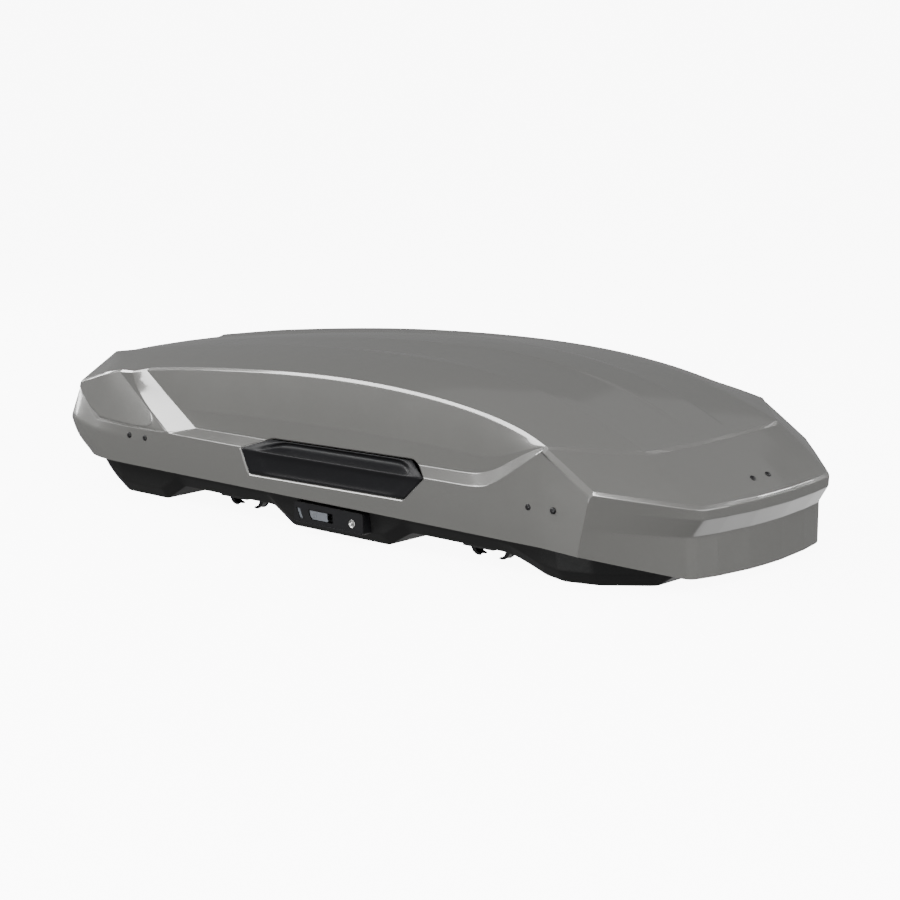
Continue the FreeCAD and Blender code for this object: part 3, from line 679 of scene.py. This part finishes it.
# ---------------------------------------------------------------- side grips
GRIP_ENDS = [(-210, 288, 232, 244), (-216, 294, 230, 241.5), (-232, 309, 225, 234), (-268, 327, 213, 224),
             (-303, 343, 202, 212.5), (-305, 345, 199, 209), (-303.5, 342, 195, 205), (-299, 334, 185, 197),
             (-292, 318, 170, 183), (-281, 290, 147, 158), (-278, 283, 140, 151), (-276, 277, 135, 146)]
GRIP_FLAT_Y = (431, 435, 441, 449, 455.5, 456.5, 456, 453.5, 453, 452.8, 454, 449)
GRIP_DEEP_Y = (431, 433, 424, 430, 453.5, 456.5, 455.5, 449.5, 448.8, 448.8, 454, 449)
GRIP_COLUMNS = [(0.0, -1), (0.008, 0), (0.03, 0), (0.085, 0.0), (0.12, 0.75), (0.15, 1), (0.3, 1), (0.5, 1),
                (0.7, 1), (0.85, 1), (0.90, 0.9), (0.935, 0.25), (0.96, 0), (0.99, 0), (1.0, -1)]


def make_grip(side, side_name):
    points, faces = [], []
    for share, depth in GRIP_COLUMNS:
        for (x0, x1, z0, z1), flat, deep in zip(GRIP_ENDS, GRIP_FLAT_Y, GRIP_DEEP_Y):
            y = flat + (deep - flat) * max(depth, 0)
            if depth < 0:
                y = min(y, 450.5) if z0 < 215 else y - 2
            points.append((x0 + (x1 - x0) * share, side * y, z0 + (z1 - z0) * share))
    count = len(GRIP_ENDS)
    for i in range(len(GRIP_COLUMNS) - 1):
        for j in range(count - 1):
            a = i * count + j
            faces.append((a, a + 1, a + count + 1, a + count))
    piece = mesh_piece("side_grip_%s" % side_name, points, faces, flip=side > 0)
    level = piece.modifiers.new("round", "SUBSURF")
    level.levels = level.render_levels = 3
    wall = piece.modifiers.new("wall", "SOLIDIFY")
    wall.thickness = 0.0025
    wall.offset = -1
    finish_piece(piece, "lid", "grip_plastic", ["side_grip_" + side_name])


# ---------------------------------------------------------------- small moulded and turned pieces
def mesh_piece(name, points, faces, flip=False):
    mesh = bpy.data.meshes.new(name)
    loops = [tuple(reversed(f)) for f in faces] if flip else faces
    mesh.from_pydata([tuple(c * MM for c in p) for p in points], [], loops)
    mesh.polygons.foreach_set("use_smooth", [True] * len(mesh.polygons))
    piece = bpy.data.objects.new(name, mesh)
    bpy.context.scene.collection.objects.link(piece)
    return piece


def merged(name, parts, side=1):
    """One mesh from several (points, faces) parts, mirrored in Y when side is -1."""
    points, faces = [], []
    for part_points, part_faces in parts:
        start = len(points)
        points += [(x, side * y, z) for x, y, z in part_points]
        faces += [tuple(start + k for k in face) for face in part_faces]
    piece = mesh_piece(name, points, faces, flip=side < 0)
    mesh = bmesh.new()
    mesh.from_mesh(piece.data)
    bmesh.ops.recalc_face_normals(mesh, faces=mesh.faces)
    mesh.to_mesh(piece.data)
    mesh.free()
    return piece


def sharp_rims(piece):
    """Keeps the shading of a moulded wall from running over its cut edges."""
    split = piece.modifiers.new("sharp_rims", "EDGE_SPLIT")
    split.split_angle = math.radians(62)


def soften(piece, width, segments=3):
    bevel = piece.modifiers.new("soft_edges", "BEVEL")
    bevel.width = width * MM
    bevel.segments = segments
    bevel.limit_method = "ANGLE"
    bevel.angle_limit = math.radians(35)
    bevel.harden_normals = True


def prism(outline, y0, y1):
    """An (x, z) outline pulled along Y."""
    count = len(outline)
    points = [(x, y0, z) for x, z in outline] + [(x, y1, z) for x, z in outline]
    faces = [tuple(range(count)), tuple(range(2 * count - 1, count - 1, -1))]
    for k in range(count):
        n = (k + 1) % count
        faces.append((k, k + count, n + count, n))
    return points, faces


def slab(outline, z0, z1):
    """An (x, y) outline pulled up along Z."""
    points, faces = prism(outline, z0, z1)
    return [(x, z, y) for x, y, z in points], faces


def box(x0, x1, y0, y1, z0, z1):
    return prism([(x0, z0), (x1, z0), (x1, z1), (x0, z1)], y0, y1)


def circle(cx, cz, radius, count=32, start=0.0, turn=360.0):
    steps = count if turn == 360.0 else count + 1
    return [(cx + radius * math.cos(math.radians(start + turn * k / count)),
             cz + radius * math.sin(math.radians(start + turn * k / count))) for k in range(steps)]


def rounded_outline(x0, x1, z0, z1, radius, count=6):
    points = []
    for cx, cz, start in ((x1 - radius, z1 - radius, 0), (x0 + radius, z1 - radius, 90),
                          (x0 + radius, z0 + radius, 180), (x1 - radius, z0 + radius, 270)):
        points += circle(cx, cz, radius, count, start, 90.0)
    return points


def turned(profile, centre, axis, count=32):
    """A solid of revolution: profile is (radius, height along the axis from the centre)."""
    axis = Vector(axis).normalized()
    across = axis.orthogonal().normalized()
    other = axis.cross(across)
    points, faces = [], []
    for radius, height in profile:
        for k in range(count):
            angle = 2 * math.pi * k / count
            offset = (across * math.cos(angle) + other * math.sin(angle)) * radius
            points.append(tuple(Vector(centre) + offset + axis * height))
    for i in range(len(profile) - 1):
        for k in range(count):
            n = (k + 1) % count
            faces.append((i * count + k, i * count + n, (i + 1) * count + n, (i + 1) * count + k))
    faces.append(tuple(range(count)))
    faces.append(tuple(range(len(points) - 1, len(points) - count - 1, -1)))
    return points, faces


def plate_with_holes(outline, holes, y0, y1):
    """A flat plate in XZ with holes, each hole and the rim as outlines, between y0 and y1."""
    mesh = bmesh.new()
    edges = []
    for loop in [outline] + holes:
        corners = [mesh.verts.new((x, y0, z)) for x, z in loop]
        for k, corner in enumerate(corners):
            edges.append(mesh.edges.new((corner, corners[(k + 1) % len(corners)])))
    bmesh.ops.triangle_fill(mesh, use_beauty=True, use_dissolve=True, edges=edges)
    bmesh.ops.recalc_face_normals(mesh, faces=mesh.faces)
    front = list(mesh.faces)
    pulled = bmesh.ops.extrude_face_region(mesh, geom=front)
    for item in pulled["geom"]:
        if isinstance(item, bmesh.types.BMVert):
            item.co.y = y1
    mesh.verts.index_update()
    points = [tuple(v.co) for v in mesh.verts]
    faces = [tuple(v.index for v in f.verts) for f in mesh.faces]
    mesh.free()
    return points, faces


# Screw caps: (x, z) of those on each side, their half width, and those on the nose.
SIDE_CAPS = [(-747, 178), (-683, 178), (686, 188), (763, 190)]
SIDE_CAP_Y = 452.6
NOSE_CAPS = [(1040, -31.0, 242.5), (1040, 31.0, 242.5)]
NOSE_SLOPE = (0.56, 0, 0.83)
CAP_DOME = [(8.2, -2.0), (8.2, 0.6), (7.6, 1.6), (6.2, 2.6), (4.2, 3.3), (2.0, 3.7), (0.4, 3.8)]


def make_rivets():
    parts = []
    for x, z in SIDE_CAPS:
        for side in (-1, 1):
            parts.append(turned(CAP_DOME, (x, side * SIDE_CAP_Y, z), (0, side, 0.02)))
    for place in NOSE_CAPS:
        parts.append(turned(CAP_DOME, place, NOSE_SLOPE))
    piece = merged("rivet_caps", parts)
    finish_piece(piece, "lid", "rivet_metal", ["lid_rivets"])


# ---------------------------------------------------------------- lock panels
LOCK_FRONT = 442.0
KEY_CENTRE = (89, 53)
KEY_PROFILE = [(10.2, -26), (11.0, -24), (11.0, -0.6), (10.4, 0.0), (9.2, 0.2), (9.0, -0.3), (0.5, -0.3)]


def make_lock(side, name):
    """Everything on one lock: its panel, the flag in its window, the sliding button and the key barrel."""
    front = LOCK_FRONT
    panel = rounded_outline(-118, 128, 28, 84, 7)
    window = [(-111, 68), (-98, 68), (-92, 54), (-86, 41), (-99, 41), (-105, 54)]
    slot = [(-66, 68), (20, 68), (22, 66), (22, 44), (20, 42), (-55, 42), (-61, 48), (-66, 60)]
    key_hole = circle(*KEY_CENTRE, 11.3, 40)
    face = plate_with_holes(panel, [window, slot, key_hole], front - 5, front)
    lip = prism([(-112, 28), (122, 28), (126, 33), (-116, 33)], front - 1, front + 2.2)
    sleeve = plate_with_holes(rounded_outline(-118.5, 128.5, 28, 84, 6),
                              [rounded_outline(-113, 123, 33, 79, 4)], front - 36, front - 5)
    stem_way = rounded_outline(-40, 0, 47, 63, 2)
    backing = plate_with_holes(rounded_outline(-116, 126, 30, 82, 5), [stem_way, key_hole],
                               front - 20, front - 17.5)
    piece = merged("lock_panel_" + name, [face, lip, sleeve, backing], side)
    soften(piece, 1.1)
    finish_piece(piece, "base", "black_plastic", ["lock_housing_" + name])

    flag = prism([(-113, 70), (-88, 70), (-84, 38), (-113, 38)], front - 14.8, front - 13.4)
    tongue = box(-92, -36.5, front - 14.8, front - 13.4, 51, 59)
    glass = prism([(-111, 67.6), (-98.3, 67.6), (-92.3, 54), (-86.4, 41.4), (-98.7, 41.4), (-105, 54)],
                  front - 13.3, front - 3.5)
    indicator = merged("lock_flag_" + name, [flag, tongue, glass], side)
    soften(indicator, 0.3, 2)
    finish_piece(indicator, "latch_" + name, "grey_plastic", ["lock_indicator_" + name])

    face = prism([(-63, 66), (0, 66), (0, 44), (-52, 44), (-57.5, 49), (-62, 58)], front - 5, front - 1)
    ribs = [box(x, x + 2, front - 1.5, front, 47, 63) for x in (-52, -46, -40)]
    toe = box(-8, 2, front - 4.5, front - 1.6, 44.5, 50)
    stem = box(-36, -26, front - 39, front - 4, 50, 60)
    slider = merged("lock_slider_cap_" + name, [face, toe, stem] + ribs, side)
    soften(slider, 0.7)
    finish_piece(slider, "latch_" + name, "grey_plastic", ["lock_slider_" + name])

    key_x, key_z = KEY_CENTRE
    barrel = turned(KEY_PROFILE, (key_x, front + 0.3, key_z), (0, 1, 0), 40)
    slot_bar = box(key_x - 1, key_x + 1, front - 0.3, front + 0.25, key_z - 5.5, key_z + 5.5)
    key = merged("key_barrel_" + name, [barrel, slot_bar], side)
    finish_piece(key, "key_" + name, "plated_metal", ["key_cylinder_" + name])


# ---------------------------------------------------------------- crossbar clamps
CLAMPS = [("rear_near", -415.0, -318.0), ("front_near", 460.0, -318.0),
          ("rear_far", -415.0, 318.0), ("front_far", 460.0, 318.0)]


JAW_PIVOT = (54.0, 70.0)
JAW_HALF_WIDTH = 13
JAW_WEB_HALF = 9
KNUCKLE_R = 10.2
PIN_HOLE_R = 4.05
# A claw's side plate and its web below the knuckle: x from the pivot, outwards, and height.
CLAW_PLATE = [(11.5, 52), (12.5, 38), (9.5, 24), (3.0, 13), (-6, 7.5), (-15, 5.6), (-22.5, 6.4), (-24, 9),
              (-21, 11.8), (-14, 13.4), (-7, 18), (-3.5, 27), (-3.5, 40), (-6, 54)]
CLAW_WEB = [(9.6, 58), (10.6, 38), (7.6, 25), (1.5, 14.6), (-7, 9.6), (-16, 7.8), (-21.5, 8.4), (-21, 11),
            (-14, 12.4), (-6.4, 16.8), (-2.0, 27), (-2.0, 58)]


def make_jaw(label, x, y, facing, direction):
    """A curved claw: a pierced knuckle at its top, a hooked tip at its foot."""
    pivot_x, pivot_z = x + direction * JAW_PIVOT[0], JAW_PIVOT[1]
    outer = []
    for degrees in range(200, -31, -15):
        angle = math.radians(degrees)
        across, up = KNUCKLE_R * math.cos(angle), KNUCKLE_R * math.sin(angle)
        outer.append((pivot_x + direction * across, pivot_z + up))
    outer += [(pivot_x + direction * dx, z) for dx, z in CLAW_PLATE]
    pin_hole = circle(pivot_x, pivot_z, PIN_HOLE_R, 24)
    parts = []
    for y0, y1 in ((-JAW_HALF_WIDTH, -JAW_WEB_HALF), (JAW_WEB_HALF, JAW_HALF_WIDTH)):
        parts.append(plate_with_holes(outer, [pin_hole], y + y0, y + y1))
    web = [(pivot_x + direction * dx, z) for dx, z in CLAW_WEB]
    parts.append(prism(web, y - JAW_WEB_HALF, y + JAW_WEB_HALF))
    name = "jaw_%s_%s" % (facing, label)
    piece = merged("claw_%s_%s" % (facing, label), parts)
    soften(piece, 0.9)
    finish_piece(piece, name, "jaw_plastic", [name])


CLAMP_HALF = (70, 38)
CHANNEL_HALF = 14.5
CLAMP_FOOT = 56.3
CLAMP_TOP = 96
SCREW_BORE_R = 6.2
KNOB_LOBES = 10
KNOB_R = 33.0
KNOB_LOBE_DEPTH = 1.6


def make_clamp_housing(label, x, y):
    half_x, half_y = CLAMP_HALF
    parts = []
    for y0, y1 in ((y - half_y, y - CHANNEL_HALF), (y + CHANNEL_HALF, y + half_y)):
        wall = [(x - half_x, y0), (x + half_x, y0), (x + half_x, y1), (x - half_x, y1)]
        parts.append(slab(wall, CLAMP_FOOT, CLAMP_TOP - 6))
    rim = rounded_outline(x - half_x, x + half_x, y - half_y, y + half_y, 10)
    points, faces = plate_with_holes(rim, [circle(x, y, SCREW_BORE_R, 32)], CLAMP_TOP - 6.5, CLAMP_TOP)
    parts.append(([(a, c, b) for a, b, c in points], faces))
    for s in (-1, 1):
        pivot = (x + s * JAW_PIVOT[0], y, JAW_PIVOT[1])
        parts.append(turned([(4.0, -16), (4.0, 16)], pivot, (0, 1, 0), 24))
    body = merged("clamp_housing_" + label, parts)
    soften(body, 1.4)
    finish_piece(body, "clamp_" + label, "black_plastic", ["clamp_body_" + label])


def make_knob(label, x, y):
    """The lobed knob with its domed crown, its handle bar and the screw under it."""
    outline = []
    for degrees in range(0, 360, 3):
        angle = math.radians(degrees)
        radius = KNOB_R + KNOB_LOBE_DEPTH * math.tanh(2.5 * math.cos(KNOB_LOBES * angle))
        outline.append((x + radius * math.cos(angle), y + radius * math.sin(angle)))
    up = (0, 0, 1)
    parts = [slab(outline, 96.5, 117),
             turned([(31.0, 117), (29.5, 119.2), (24, 120.4), (0.5, 120.8)], (x, y, 0), up, 48),
             slab(rounded_outline(x - 30, x + 30, y - 6, y + 6, 5.5), 118, 130),
             turned([(5.2, 74), (6.0, 75.5), (6.0, 97)], (x, y, 0), up, 32)]
    knob = merged("clamp_wheel_" + label, parts)
    soften(knob, 1.0)
    finish_piece(knob, "knob_" + label, "knob_plastic", ["clamp_knob_" + label])


def make_clamp(label, x, y):
    make_clamp_housing(label, x, y)
    make_knob(label, x, y)
    make_jaw(label, x, y, "front", 1)
    make_jaw(label, x, y, "rear", -1)


# ---------------------------------------------------------------- the whole box
make_lid()
make_tray()
make_rivets()
for side, side_name in ((-1, "near"), (1, "far")):
    make_grip(side, side_name)
    make_lock(side, side_name)
for clamp in CLAMPS:
    make_clamp(*clamp)
